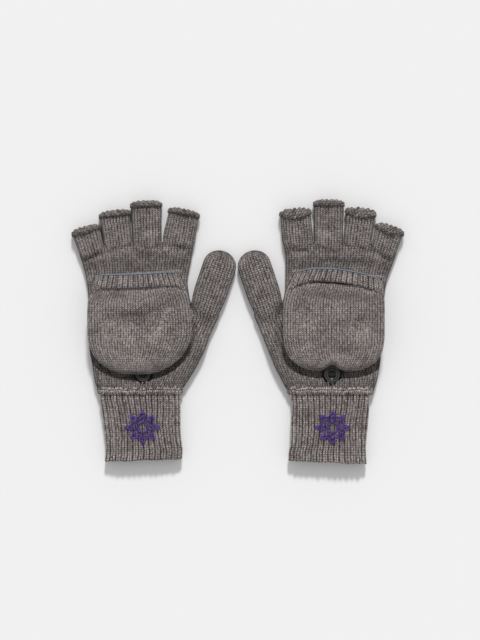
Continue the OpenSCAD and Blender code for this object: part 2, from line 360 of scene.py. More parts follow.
def cord_piece(side, name, path, radius, material, body, replaces=(), sides=10, bumps=None):
    p = cord_points(path, radius, sides, bumps)
    v = np.concatenate([[0], np.cumsum(np.linalg.norm(np.diff(path, axis=0), axis=1))]) / COURSE
    return grid_piece(side, name, p, np.arange(sides + 1) / sides, v, material, body, replaces)


# ======== Materials

class Nodes:
    """Short calls for making a node material."""

    def __init__(self, name):
        self.material = bpy.data.materials.new(name)
        self.material.use_nodes = True
        self.tree = self.material.node_tree
        self.tree.nodes.clear()
        self.out = self.add("ShaderNodeOutputMaterial")
        self.shader = self.add("ShaderNodeBsdfPrincipled")
        self.link(self.shader.outputs[0], self.out.inputs["Surface"])

    def add(self, kind, **settings):
        node = self.tree.nodes.new(kind)
        for key, value in settings.items():
            setattr(node, key, value)
        return node

    def link(self, a, b):
        self.tree.links.new(a, b)

    def math(self, operation, a, b=0.5, c=0.0):
        node = self.add("ShaderNodeMath", operation=operation)
        for socket, value in zip(node.inputs, (a, b, c)):
            if isinstance(value, (int, float)):
                socket.default_value = value
            else:
                self.link(value, socket)
        return node.outputs[0]

    def noise(self, vector, scale, detail=2.0, roughness=0.5):
        node = self.add("ShaderNodeTexNoise")
        node.inputs["Scale"].default_value = scale
        node.inputs["Detail"].default_value = detail
        node.inputs["Roughness"].default_value = roughness
        self.link(vector, node.inputs["Vector"])
        return node.outputs["Fac"]

    def colours(self, factor, stops):
        node = self.add("ShaderNodeValToRGB")
        elements = node.color_ramp.elements
        while len(elements) < len(stops):
            elements.new(0.5)
        for element, (at, colour) in zip(elements, stops):
            element.position = at
            element.color = (*colour, 1)
        self.link(factor, node.inputs["Fac"])
        return node.outputs["Color"]

    def bump(self, height, distance, strength=1.0, under=None):
        node = self.add("ShaderNodeBump")
        node.inputs["Distance"].default_value = distance
        node.inputs["Strength"].default_value = strength
        self.link(height, node.inputs["Height"])
        if under is not None:
            self.link(under, node.inputs["Normal"])
        return node.outputs["Normal"]

    def knit_map(self):
        uv = self.add("ShaderNodeUVMap", uv_map="knit")
        split = self.add("ShaderNodeSeparateXYZ")
        self.link(uv.outputs["UV"], split.inputs[0])
        return uv.outputs["UV"], split.outputs["X"], split.outputs["Y"]


YARN_DARK = (0.010, 0.009, 0.0085)
YARN_MIDDLE = (0.150, 0.129, 0.124)
YARN_LIGHT = (0.52, 0.465, 0.445)


def knit_material(name, middle, light, rib_shade=0.0):
    """Heathered stockinette: slanted legs, painted shade in the gaps between stitches, and light and dark
    flecks.

    middle and light scale the yarn's middle and light tones, to make lighter copies with painted light and
    darker copies with painted shade, and ribs sets how much shade is painted where the fabric sinks between
    ribs of two wales.
    """
    slant, depth = 0.8, 0.0006
    tones = (YARN_DARK, [c * middle for c in YARN_MIDDLE], [c * light for c in YARN_LIGHT])
    m = Nodes(name)
    uv, wale, course = m.knit_map()
    off = m.math("MULTIPLY", m.math("ABSOLUTE", m.math("SUBTRACT", m.math("FRACT", wale), 0.5)), 2.0)
    gap = m.math("POWER", off, 3.0)
    core = m.math("POWER", m.math("SUBTRACT", 1.0, off), 4.0)
    leg = m.math("MULTIPLY", m.math("SUBTRACT", 1.0, gap), m.math("MULTIPLY_ADD", core, -0.45, 1.0))
    climb = m.math("ADD", course, m.math("MULTIPLY", off, slant))
    loop = m.math("ABSOLUTE", m.math("SINE", m.math("MULTIPLY", climb, math.pi)))
    yarn = m.math("MULTIPLY", leg, m.math("MULTIPLY_ADD", loop, 0.6, 0.4))

    cell = m.add("ShaderNodeCombineXYZ")
    m.link(m.math("FLOOR", m.math("MULTIPLY", wale, 2.0)), cell.inputs[0])
    m.link(m.math("FLOOR", climb), cell.inputs[1])
    stitch = m.add("ShaderNodeTexWhiteNoise", noise_dimensions="2D")
    m.link(cell.outputs[0], stitch.inputs["Vector"])
    where = m.add("ShaderNodeTexCoord").outputs["Object"]
    flecks = m.noise(uv, 1.3, 3.0, 0.65)
    fibres = m.noise(where, 2600.0, 2.0, 0.6)
    clouds = m.noise(where, 75.0, 3.0, 0.55)
    heather = m.math("MULTIPLY_ADD", stitch.outputs["Value"], 0.34, -0.17)
    heather = m.math("MULTIPLY_ADD", flecks, 1.3, m.math("ADD", heather, -0.65))
    heather = m.math("MULTIPLY_ADD", fibres, 0.8, m.math("ADD", heather, -0.4))
    heather = m.math("MULTIPLY_ADD", clouds, 0.5, m.math("ADD", heather, -0.25))
    # tone follows the yarn's height, so shade is painted into the gaps between wales and the dips between
    # loops
    tone = m.math("MULTIPLY_ADD", yarn, 0.95, m.math("MULTIPLY_ADD", heather, 0.75, -0.02))
    # Painted shade in the rib valleys, where the fabric sinks between ribs of two wales
    if rib_shade:
        pair = m.math("FRACT", m.math("MULTIPLY", wale, 0.5))
        off = m.math("ABSOLUTE", m.math("SUBTRACT", pair, 0.5))
        rib_valley_shade = m.math("POWER", m.math("MULTIPLY", off, 2.0), 5.0)
        tone = m.math("SUBTRACT", tone, m.math("MULTIPLY", rib_valley_shade, rib_shade))
    m.link(m.colours(tone, list(zip((0.08, 0.5, 0.95), tones))), m.shader.inputs["Base Color"])

    fine = m.bump(fibres, 0.00015, 0.7)
    m.link(m.bump(yarn, depth, 1.0, fine), m.shader.inputs["Normal"])
    m.link(m.math("MULTIPLY_ADD", fibres, 0.2, 0.78), m.shader.inputs["Roughness"])
    m.shader.inputs["Sheen Weight"].default_value = 0.1
    m.shader.inputs["Sheen Roughness"].default_value = 0.5
    m.shader.inputs["Specular IOR Level"].default_value = 0.2
    return m.material


def thread_material(name, dark, light, roughness, specular):
    """Shiny twisted thread: fine slanted plies along each strand, and a little variation in its colour."""
    m = Nodes(name)
    where = m.add("ShaderNodeTexCoord").outputs["Object"]
    ply = m.add("ShaderNodeTexWave", bands_direction="DIAGONAL")
    ply.inputs["Scale"].default_value = 900.0
    ply.inputs["Distortion"].default_value = 1.5
    m.link(where, ply.inputs["Vector"])
    grain = m.noise(where, 700.0, 2.0, 0.5)
    tone = m.math("MULTIPLY_ADD", ply.outputs["Fac"], 0.4, m.math("MULTIPLY", grain, 0.6))
    m.link(m.colours(tone, ((0.25, dark), (0.75, light))), m.shader.inputs["Base Color"])
    m.link(m.bump(ply.outputs["Fac"], 0.00008, 0.8), m.shader.inputs["Normal"])
    m.link(m.math("MULTIPLY_ADD", grain, 0.2, roughness - 0.1), m.shader.inputs["Roughness"])
    m.shader.inputs["Specular IOR Level"].default_value = specular
    return m.material


# The button's raised rings, where highlights are painted, as (radius, half width) in millimetres
RING_HIGHLIGHTS = ((6.3, 0.5), (4.5, 0.4))


def plastic_material(name, colour, light):
    """Moulded plastic with a faint grain, and painted highlights along its raised rings. Its map has the
    radius along U.
    """
    m = Nodes(name)
    radius = m.knit_map()[1]
    where = m.add("ShaderNodeTexCoord").outputs["Object"]
    grain = m.noise(where, 900.0, 3.0, 0.6)
    patchy = m.noise(where, 180.0, 2.0, 0.5)
    ring_highlight = 0.0
    # Painted highlights along the raised rings, patchy along their length
    for middle, half_w in RING_HIGHLIGHTS:
        away = m.math("DIVIDE", m.math("SUBTRACT", radius, middle), half_w)
        highlight_falloff = m.math("MULTIPLY", m.math("MULTIPLY", away, away), -2.0)
        ring_highlight = m.math("ADD", ring_highlight, m.math("POWER", 2.0, highlight_falloff))
    ring_highlight = m.math("MULTIPLY", ring_highlight, m.math("MULTIPLY_ADD", patchy, 0.8, 0.6))
    m.link(m.colours(ring_highlight, ((0.1, colour), (0.9, light))), m.shader.inputs["Base Color"])
    m.shader.inputs["Specular IOR Level"].default_value = 0.3
    m.link(m.bump(grain, 0.00003, 0.5), m.shader.inputs["Normal"])
    m.link(m.math("MULTIPLY_ADD", patchy, 0.2, 0.14), m.shader.inputs["Roughness"])
    return m.material


def floor_material():
    """Plain pale paper."""
    m = Nodes("floor_paper")
    where = m.add("ShaderNodeTexCoord").outputs["Object"]
    grain = m.noise(where, 300.0, 2.0, 0.5)
    pale = ((0.0, (0.80, 0.80, 0.80)), (1.0, (0.81, 0.81, 0.81)))
    m.link(m.colours(grain, pale), m.shader.inputs["Base Color"])
    m.shader.inputs["Roughness"].default_value = 1.0
    m.shader.inputs["Specular IOR Level"].default_value = 0.0
    return m.material


# One yarn throughout: the hand's copy is darker with painted shade, and the cuff rib, band and rolled copies
# are lighter with painted light
hood_knit = knit_material("heather_knit_hood", 1.0, 1.0)
hand_knit_painted_shade = knit_material("heather_knit_hand", 0.86, 0.86)
rib_knit_painted_light_and_shade = knit_material("heather_rib_knit", 1.08, 1.12, 0.4)
band_knit_painted_light_and_shade = knit_material("heather_band_knit", 1.2, 1.2, 0.35)
rolled_knit_painted_light = knit_material("heather_rolled_knit", 1.2, 1.25)
edge_yarn = thread_material("slate_edge_yarn", (0.10, 0.12, 0.155), (0.21, 0.25, 0.31), 0.7, 0.2)
violet = thread_material("violet_satin_thread", (0.022, 0.007, 0.085), (0.105, 0.045, 0.32), 0.4, 0.5)
black_thread = thread_material("black_thread", (0.003, 0.003, 0.003), (0.015, 0.015, 0.016), 0.7, 0.1)
elastic = thread_material("black_elastic", (0.003, 0.003, 0.003), (0.014, 0.014, 0.014), 0.8, 0.1)
button_plastic = plastic_material("black_button_plastic", (0.008, 0.008, 0.0085), (0.075, 0.075, 0.077))


# ======== Hand

# Outlines are lists of (y, x). Both mittens are shaped with the thumb on the left
HAND_RIGHT = {
    "left": ((-2, 39.6), (1, 40.6), (6, 43), (12, 44.4), (22, 46), (38, 48.6), (55, 50.2), (70, 50.2),
             (82, 49.6), (92, 50.2), (103, 52), (114, 54.8), (125, 57.8), (133, 59.2)),
    "right": ((-2, 36.2), (1, 37.6), (6, 39.6), (12, 41.4), (22, 43.2), (38, 45), (50, 46.2), (66, 46.8),
              (87, 47.8), (98, 49.4), (109, 53), (117, 55.8), (125, 58.2), (133, 59.4)),
}
HAND_LEFT = {
    "left": ((-2, -33.2), (1, -33.6), (6, -37), (12, -40.8), (22, -46.8), (38, -54.8), (50, -59), (60, -63.6),
             (69, -67.2), (73.5, -66), (77, -56), (79, -46), (80.5, -41.8), (86, -40.4), (100, -38.8),
             (108, -39.8), (116, -41.6), (133, -44.6)),
    "right": ((-2, -37.6), (1, -39), (6, -42.2), (12, -45.2), (22, -50.4), (38, -56.8), (50, -61.6),
              (60, -65.6), (69, -69), (73.5, -68), (77, -58), (79, -48), (80.5, -43.6), (86, -42),
              (92, -40.8), (119, -40.6), (133, -43)),
}
HAND_FRONT = 133.6
# How deep the hood's round end presses into the hand, and how far that hollow shows beside it
HOLLOW_DEPTH = 5.2
HOLLOW_REACH = {"left": 3.8, "right": 6.2}


def little_drop(x):
    """How much further back than the others the little finger's root sits."""
    return 1.4 * ramp(x, 33, 37) + 0.31 * np.clip(x - 36, 0, 24)


def finger_profile(side, x, y):
    """Half the height of the finger tubes above a place at their roots, the highest of the four."""
    best = np.zeros(np.shape(x))
    for finger in FINGERS:
        a = math.radians(LEAN[side][finger])
        bx, by = FINGER_BASE[side][finger]
        q = ((x - bx) * math.cos(a) + (y - by) * math.sin(a)) / (FINGER_W[side][finger][0] / 2)
        tube = (1 - np.minimum(np.abs(q), 1) ** TUBE_ROUND) ** (1 / TUBE_ROUND)
        best = np.maximum(best, FINGER_H / 2 * tube)
    return best


# The creases at the roots of the fingers, and those beside the thumb, as dents() takes them
ROOT_DENTS = {
    "left": (
        ((42, 121.5), (12, 2.6), -20, 3.4), ((-13, 129.5), (5, 3.6), 30, 2.8),
        ((-31, 127.5), (10, 3.4), 10, 2.6), ((10.4, 131.5), (3.2, 6), 0, 2.4),
        ((22, 127), (8, 2.6), -10, 1.8), ((-2, 121), (14, 2.8), 4, 1.3), ((49, 110), (9, 2.8), -18, 1.6),
    ),
    "right": (
        ((-27, 125.5), (13, 2.6), 6, 3.4), ((8.4, 132.5), (3.2, 5), 0, 2.4), ((32, 126), (9, 2.8), -8, 3.0),
        ((47, 120.5), (8, 2.6), -20, 2.6), ((0, 125), (10, 2.6), 0, 1.8), ((12, 115), (20, 2.8), -3, 1.2),
        ((-16, 134), (3, 4), 0, 1.6),
    ),
}
HAND_DENTS = (
    ((-46.5, 69), (9, 3), 56, 2.2), ((-52, 58), (9, 4), 60, 1.0), ((-58, 44), (8, 3), 65, 0.8),
    ((-46, 24), (8, 3), 55, 0.8),
)


def beside_hood(side, x, y):
    """1 in the hollow that the hood's round end presses into the hand, 0 away from it."""
    out = -inside_hood(side, x, y)
    far = HOLLOW_REACH[side]
    return ramp(out, -9, -3) * ramp(out, far + 1, far - 0.6) * ramp(y, 66, 50)


def hand_folds(side, x, y, top):
    """The soft hollows and puckers of the back of the hand, as heights to add."""
    lift = 0.5 * wander(x, y, 11 if side == "left" else 17, 26)
    gather = ramp(y, 22, 6) * ramp(y, -2, 2)
    puckers = np.sin(2 * math.pi * (x + 1.5 * np.sin(x * 0.31)) / 5.4)
    lift += gather * (0.8 * puckers + 0.4 * wander(x, y, 5, 7))
    lift -= dents(HAND_DENTS, x, y)
    lift -= HOLLOW_DEPTH * beside_hood(side, x, y)
    out = -inside_hood(side, x, y)
    lift += 2.5 * ramp(out, 4, 6.5) * ramp(out, 22, 11) * ramp(y, 58, 44)
    lift -= 3.0 * ramp(y, 128, 111) * ramp(y, 96, 106)
    return lift * np.where(top, 1.0, 0.2)


def make_hand(side):
    y_rows = np.arange(-2, HAND_FRONT, ROW_STEP)
    shifted = y_rows - ramp(y_rows, 84, 130) * little_drop(np.full(len(y_rows), 55.0))
    right, left = curve_through(HAND_RIGHT[side], shifted), curve_through(HAND_LEFT[side], y_rows)
    wale_count = 80
    count = wale_count * POINTS_PER_WALE
    flat_z = HAND_H / 2
    outer = np.empty((len(y_rows), count, 3))
    middle = np.empty_like(outer)
    for i, y in enumerate(y_rows):
        half_w, centre = (right[i] - left[i]) / 2, (right[i] + left[i]) / 2
        x, z = ring(count, half_w, flat_z, 3.2)
        x = x + centre
        yy = y - ramp(y, 84, 130) * little_drop(x)
        outer[i] = xyz(x, yy, z)
        middle[i] = xyz(centre, yy, 0)
    x, y, z = outer[..., 0], outer[..., 1], outer[..., 2]
    to_root = y + little_drop(x)
    share = ramp(to_root, 112, 131)
    uneven = to_root + 2.4 * wander(x, y * 0.3, 61, 9)
    tube = finger_profile(side, x, y) + 0.3 - 1.5 * ramp(uneven, 126, 134)
    shaped = np.sign(z) * np.minimum(np.abs(z), np.maximum(tube, 1.2))
    z[...] = z + (shaped - z) * share
    top = z > 0
    room = np.minimum(1, np.abs(z) / (0.6 * flat_z))
    z += room * hand_folds(side, x, y, top) * (1 - 0.8 * share)
    z -= dents(ROOT_DENTS[side], x, y) * np.clip(z / flat_z, 0, 1)
    z += flat_z
    z[...] = np.clip(z, RELIEF, None)
    middle[..., 2] = flat_z
    wales = stitch_columns(count)
    sleeve(side, "hand_knit_painted_shade", outer, wales, y_rows / COURSE, middle, FABRIC, hand_knit_painted_shade, "hand")


# ======== Cuff and wrist seam

CUFF_RIGHT = {
    "left": ((-65, 35.2), (-54, 34.6), (-42, 34.8), (-31, 36.2), (-16, 37.6), (-6, 39.8), (0.5, 40.2)),
    "right": ((-65, 32.2), (-48, 31.6), (-37, 32.2), (-21, 33.2), (-8, 34.6), (-3, 35.2), (0.5, 36.6)),
}
CUFF_LEFT = {
    "left": ((-65, -34.2), (-54, -35), (-44, -33.8), (-20, -32.8), (-5, -32.6), (0.5, -33.2)),
    "right": ((-65, -38.2), (-56, -38), (-47, -36.2), (-26, -36), (-15, -35.2), (-5, -36.2), (0.5, -37.8)),
}
# How far the cuff's open end leans towards the little finger, and how much further or less it reaches
CUFF_TILT = {"left": -0.045, "right": -0.055}
CUFF_MORE = {"left": -1.6, "right": 0.8}
RIB_COUNT = 28
POINTS_PER_RIB = 14


def make_cuff(side):
    end = -SEAM_HALF - CUFF_L + 1
    y_rows = np.arange(0.5, end - 0.2, -ROW_STEP)
    right, left = curve_through(CUFF_RIGHT[side], y_rows), curve_through(CUFF_LEFT[side], y_rows)
    count = RIB_COUNT * POINTS_PER_RIB
    rib = (np.arange(count) / POINTS_PER_RIB) % 1
    ridge = np.abs(np.sin(math.pi * rib)) ** 0.7
    cleft = bell(rib, 0.5, 0.07)
    outer = np.empty((len(y_rows), count, 3))
    middle = np.empty_like(outer)
    half_h = 5.7
    mid_z = half_h + 0.7
    seed = 3 if side == "left" else 4
    for i, y in enumerate(y_rows):
        half_w, centre = (right[i] - left[i]) / 2, (right[i] + left[i]) / 2
        flare = 0.4 * ramp(y, end + 6, end)
        x, z = ring(count, half_w - 1.3, half_h - 1.1 + flare, 2.9)
        nx, nz = ring_normals(x, z)
        swell = 0.75 + 0.35 * wander(np.arange(count) * 0.4, y * 0.35, seed, 11)
        under_ridge = 1 - 0.7 * bell(y, -4.2, 1.4)
        out = (2.9 * ridge - 0.3 * cleft) * swell * under_ridge
        x, z = x + nx * out, z + nz * out
        outer[i] = xyz(x + centre, y, z + mid_z)
        middle[i] = xyz(centre, y, mid_z)
    draw_in(side, outer)
    uneven = wander(outer[..., 0], outer[..., 1], 21, 19)
    outer[..., 2] += np.where(outer[..., 2] > half_h, 0.5, 0.12) * uneven
    outer[..., 2] = np.clip(outer[..., 2], RELIEF, None)
    edge = ramp(outer[..., 1], end + 14, end)
    uneven = 0.5 * wander(outer[..., 0], 0, 8, 24)
    outer[..., 1] += (uneven + CUFF_TILT[side] * outer[..., 0] - CUFF_MORE[side]) * edge
    outer[..., 1] -= 0.9 * ridge[None, :] * ramp(outer[..., 1], end + 5, end)
    wales = np.arange(count + 1) * 2 / POINTS_PER_RIB
    courses = -y_rows / COURSE
    sleeve(side, "cuff_rib_knit", outer, wales, courses, middle, FABRIC, rib_knit_painted_light_and_shade, "cuff", 0.2)


def ring_normals(x, z):
    dx, dz = np.roll(x, -1) - np.roll(x, 1), np.roll(z, -1) - np.roll(z, 1)
    length = np.maximum(np.hypot(dx, dz), 1e-9)
    return dz / length, -dx / length


def draw_in(side, p):
    """The ribs on top bend in towards the embroidery that was sewn through them."""
    dx, dy = p[..., 0] - STAR_AT[0], p[..., 1] - STAR_AT[1]
    top = ramp(p[..., 2], 8, 11)
    p[..., 0] -= 0.2 * dx * bell(dy, 0, 13) * bell(dx, 0, 20) * top
    p[..., 2] -= 0.9 * bell(dy, 0, 15) * bell(dx, 0, 17) * top


def make_wrist_seam(side):
    """The gathered ridge where the cuff is joined to the hand."""
    count = 360
    right, left = CUFF_RIGHT[side][-1][1], CUFF_LEFT[side][-1][1]
    x, z = ring(count, (right - left) / 2 - 0.4, 6.0, 2.9)
    bead = 11
    sway = 1.2 + 0.8 * wander(x, z, 31 if side == "left" else 32, 9)
    path = xyz(x + (right + left) / 2, sway, z + 6.5)
    nx, nz = ring_normals(x, z)
    t = np.linspace(0, 2 * math.pi, bead, endpoint=False)
    step = np.arange(count)[:, None]
    knots = 1 + 0.2 * np.sin(2 * math.pi * step / 7.2 + t[None, :]) + 0.16 * np.sin(2 * math.pi * step / 16.7)
    size_out, size_along = 1.9, 3.4
    out = size_out * np.cos(t)[None, :] * knots
    along = size_along * np.sin(t)[None, :] * knots
    p = path[:, None] + xyz(nx[:, None] * out, along, nz[:, None] * out)
    p[..., 2] = np.clip(p[..., 2], 0.05, None)
    grid_piece(side, "wrist_seam_ridge", p, np.arange(bead + 1) * 0.35, np.arange(count) / 4.0, rolled_knit_painted_light,
               "mitten", ("wrist_seam",), "ring")


# ======== Fingers and thumb

FINGER_DENTS = {
    "index": (((3, 9), (8, 4), 0.8), ((-4, 20), (7, 4), 0.5)),
    "middle": (((-1, 11), (9, 4.5), 2.2), ((6, 25), (6, 4), 0.6)),
    "ring": (((-5, 14), (5, 6), 0.7), ((4, 6), (6, 4), 0.8)),
    "little": (((0, 8), (8, 3), 0.6),),
}
# How much wider than a round roll the turned edge is in its middle, on the back of the hand
TURNED_BACK = {
    "left": {"index": 0.5, "middle": 0.8, "ring": 0.7, "little": 1.2},
    "right": {"index": 3.0, "middle": 1.0, "ring": 2.7, "little": 2.2},
}
CURL_R = 1.9
CURL_STEPS = 17


def leaning(at, lean, across, along, z):
    """Points across and along a leaning tube, in the mitten's own frame."""
    a = math.radians(lean)
    return xyz(
        at[0] + across * math.cos(a) - along * math.sin(a),
        at[1] + across * math.sin(a) + along * math.cos(a),
        z,
    )


def make_finger(side, finger):
    """An open half finger whose cut edge curls outwards into a roll."""
    lean, length, base = LEAN[side][finger], FINGER_L[side][finger], FINGER_BASE[side][finger]
    root_w, edge_w = (w / 2 for w in FINGER_W[side][finger])
    seed = FINGERS.index(finger) + (10 if side == "left" else 20)
    back = 9
    rows = np.arange(-back, length - 2.1 * CURL_R, ROW_STEP)
    wale_count = round(around(root_w, FINGER_H / 2) / WALE)
    count = wale_count * POINTS_PER_WALE
    half_h = FINGER_H / 2
    mid_z = half_h + 0.5
    outer = np.empty((len(rows), count, 3))
    for i, s in enumerate(rows):
        half_w = root_w + (edge_w - root_w) * float(ramp(s, 2, length - 4))
        narrow, low = 0.86 + 0.14 * float(ramp(s, -8, 1)), 0.72 + 0.28 * float(ramp(s, -9, -4))
        q, z = ring(count, (half_w - 0.35) * narrow, (half_h - 0.2) * low, TUBE_ROUND)
        outer[i] = xyz(q, s, z)
    q, s, z = outer[..., 0], outer[..., 1], outer[..., 2]
    up = np.clip(z / half_h, 0, 1)
    dent = 0.4 * wander(q, s, seed, 13) * ramp(s, 0, 5) - 0.9 * bell(s, length - 5.2, 1.5)
    for at, size, deep in FINGER_DENTS[finger]:
        dent -= deep * hollow(q, s, at, size)
    place = leaning(base, lean, q, s, z)
    z += dent * up - up * dents(ROOT_DENTS[side], place[..., 0], place[..., 1])
    wales = stitch_columns(count)
    courses = rows / COURSE
    skin = knitted(outer, wales, courses)

    nx, nz = ring_normals(*outer[-1, :, (0, 2)])
    turn = np.radians(np.linspace(-118, 178, CURL_STEPS))[:, None]
    wale = wales[None, :-1]
    uneven = wander(wale * WALE, turn * 4, seed + 60, 6)
    purl = 1 + 0.19 * np.sin(2 * math.pi * 0.6 * wale + 2.4 * turn + 1.5 * uneven) + 0.1 * uneven
    last = outer[-1]
    lens = TURNED_BACK[side][finger] * (1 - (last[:, 0] / edge_w) ** 2).clip(0, 1) * (last[:, 2] > 0)
    size = CURL_R + lens[None, :]
    out = CURL_R * (np.cos(turn) * purl + 0.55)
    along = 2.1 * CURL_R - size + size * np.sin(turn) * purl
    roll = last + xyz(0.45 * nx * out, along, nz * out)
    inner_rows = outer[::-5]
    scale = np.array([(edge_w - FABRIC) / edge_w, 1, (half_h - FABRIC) / half_h])
    p = np.concatenate([skin, roll, inner_rows * scale])

    across = np.clip(np.abs(p[..., 0]) / edge_w, 0, 1.1)
    tilt = 2.0 * across**4 + 2.4 * np.clip(-p[..., 2] / half_h, 0, 1) * (1 - across**2).clip(0, 1)
    p[..., 1] -= tilt * ramp(p[..., 1], length * 0.4, length - 3)
    roll_v = courses[-1] + np.arange(1, CURL_STEPS + 1) * 0.5
    v = np.concatenate([courses, roll_v, courses[::-5]])
    slant = np.concatenate([np.zeros(len(rows)), np.arange(CURL_STEPS) * 0.35, np.full(len(inner_rows), 6.0)])
    wales = wales[None, :] + slant[:, None]
    p = leaning(base, lean, p[..., 0], p[..., 1], np.clip(p[..., 2] + mid_z, 0.1, None))
    piece = grid_piece(side, f"{finger}_finger_knit", p, wales, v, hand_knit_painted_shade, None,
                       (f"{finger}_finger",), "ring")
    bend(side, piece, base, lean, -3, 6)


def bend(side, piece, at, lean, start, end):
    """Bakes the piece's placement into its mesh; the points at two distances from its root are worked out but
    not used.
    """
    start_at, end_at = to_row(side, leaning(at, lean, 0, np.array([start, end]), HAND_H))
    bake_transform(piece)


def make_thumb(side):
    """A full thumb, closed at its tip."""
    back = 13
    length = THUMB_L + THUMB_R
    rows = np.concatenate([
        np.arange(-back, THUMB_L, ROW_STEP),
        THUMB_L + THUMB_R * np.sin(np.linspace(0, math.pi / 2, 26)) * 0.9995,
    ])
    wale_count = round(around(14, 5.6) / WALE)
    count = wale_count * POINTS_PER_WALE
    outer = np.empty((len(rows), count, 3))
    for i, s in enumerate(rows):
        over = max(s - THUMB_L, 0) / THUMB_R
        tip = max(1 - over**2.15, 0) ** 0.5
        side_w = 12.5 + 2.3 * float(ramp(s, -12, 13))
        half_w = max(side_w * tip, 0.15)
        tail = float(ramp(s, -13, -4))
        half_h = max((4.4 + 1.3 * tail) * max(tip, 0.0) ** 0.55, 0.12)
        q, z = ring(count, half_w, half_h, TUBE_ROUND)
        outer[i] = xyz(q, s, z)
    q, s, z = outer[..., 0], outer[..., 1], outer[..., 2]
    lift = 0.5 * wander(q, s, 40 if side == "left" else 41, 15)
    lift -= 0.9 * hollow(q, s, (-3, 7), (10, 3.5), 10) + 0.6 * hollow(q, s, (2, 23), (9, 3), -12)
    on_hand = leaning(THUMB_BASE[side], THUMB_LEAN, q, s, z)
    lift -= dents(HAND_DENTS, on_hand[..., 0], on_hand[..., 1])
    z += lift * np.clip(z / 5.7, 0, 1) * ramp(s, length, length - 9)
    travel = np.concatenate([[0], np.cumsum(np.maximum(np.diff(rows), 0.35))])
    middle = np.zeros_like(outer)
    middle[..., 1] = s
    shape = np.concatenate([outer, middle], 1)
    place = leaning(THUMB_BASE[side], THUMB_LEAN, shape[..., 0], shape[..., 1], shape[..., 2] + 6.0)
    outer, middle = place[:, :count], place[:, count:]
    piece = pouch(side, "thumb_knit", outer, stitch_columns(count), travel / COURSE, middle, FABRIC,
                  hand_knit_painted_shade, None, ("thumb",))
    bend(side, piece, THUMB_BASE[side], THUMB_LEAN, -3, 7)


# ======== Hood

HOOD_LEFT = {
    "left": ((56, -43.2), (68, -42.2), (78, -41), (86, -39.6), (94, -37.2), (103, -33.8), (109, -31.2)),
    "right": ((56, -43.3), (70, -43.4), (84, -42), (94, -39.6), (102, -35.6), (109, -32.4)),
}
HOOD_RIGHT = {
    "left": ((56, 50.2), (67, 50.4), (78, 50), (88, 48), (98, 45.2), (104, 43.4), (109, 42)),
    "right": ((56, 47.5), (70, 47.6), (84, 47.3), (94, 46.6), (102, 45.8), (109, 44.8)),
}
# The band's free edge, from its thumb side to its little-finger side, as (x, y)
BAND_EDGE = {
    "left": ((-34, 104), (-31, 106.6), (-26, 107.3), (0, 105.9), (20, 105.3), (36, 104.8), (42, 103.6),
             (45.5, 101)),
    "right": ((-36, 102), (-33, 105.6), (-26, 109), (-14, 110.8), (2, 110.4), (20, 107.8), (34, 104.2),
              (42, 100.8), (46, 97)),
}
BAND_LENGTH = {"left": 12.4, "right": 12}
BAND_RIBS = 18
BAND_HALF_H = 3.9
# How far the tip is drawn up over the button by the loop
HOOD_ARCH = {"left": 0.4, "right": 6.2}
# The highest that the knit of the hood's upper layer stands
HOOD_TOP = 21.5


def fold_y(x):
    """Where the fold line is at x."""
    return FOLD_AT[1] + (x - FOLD_AT[0]) * math.tan(math.radians(FOLD_LEAN))


def hood_edges(side, y):
    """The hood's left and right edges at y, from its tip to its fold."""
    reach = HOOD_REACH[side]
    down = np.clip((HOOD_MIDDLE[1] - np.asarray(y, float)) / reach, 0, 1)
    share = [(1 - down**n) ** (1 / n) for n in HOOD_ROUND[side]]
    left, right = curve_through(HOOD_LEFT[side], y), curve_through(HOOD_RIGHT[side], y)
    middle = HOOD_MIDDLE[0]
    return middle + (left - middle) * share[0], middle + (right - middle) * share[1]


def inside_hood(side, x, y):
    """About how far inside the hood's outline a place is."""
    reach = HOOD_REACH[side]
    left, right = curve_through(HOOD_LEFT[side], y), curve_through(HOOD_RIGHT[side], y)
    half_w = np.where(x > HOOD_MIDDLE[0], right - HOOD_MIDDLE[0], HOOD_MIDDLE[0] - left)
    across = np.abs(x - HOOD_MIDDLE[0]) / half_w
    along = np.maximum(HOOD_MIDDLE[1] - y, 0) / reach
    n = np.where(x > HOOD_MIDDLE[0], HOOD_ROUND[side][1], HOOD_ROUND[side][0])
    return (1 - (across**n + along**n) ** (1 / n)) * 42


# The hollows and the one low ridge of the hood's upper layer, as dents() takes them
HOOD_HOLLOWS = {
    "left": (
        ((9, 60), (24, 8.5, 13), -6, 7.0), ((7, 76), (22, 6), -5, -1.5), ((-17, 72), (12, 4.5), -20, 2.4),
        ((26, 85), (13, 5), 8, 2.0), ((34, 50), (6, 11), 0, 1.4), ((-26, 46), (9, 5), -35, 1.4),
        ((-4, 34), (16, 4), 6, 1.0),
    ),
    "right": (
        ((-26, 64), (5, 17), 0, 3.2), ((24, 60), (14, 5.5, 9), 10, 3.4), ((4, 82), (26, 5), -4, 2.0),
        ((6, 35), (10, 4), 0, 2.6), ((34, 42), (8, 6), 40, 1.4),
    ),
}


def hood_lift(side, x, y):
    """Hollows, soft folds and the puffy rim of the hood's upper layer."""
    lift = 0.6 * wander(x, y, 51 if side == "left" else 58, 24)
    lift -= dents(HOOD_HOLLOWS[side], x, y)
    inside = inside_hood(side, x, y)
    lift += 1.1 * bell(inside, 4.5, 3.5) - 0.9 * ramp(inside, 7, 18)
    tuck = curve_through(BAND_EDGE[side], x) - BAND_LENGTH[side] - 1.5
    return lift - 2.8 * bell(y, tuck + 1.0, 3.4)


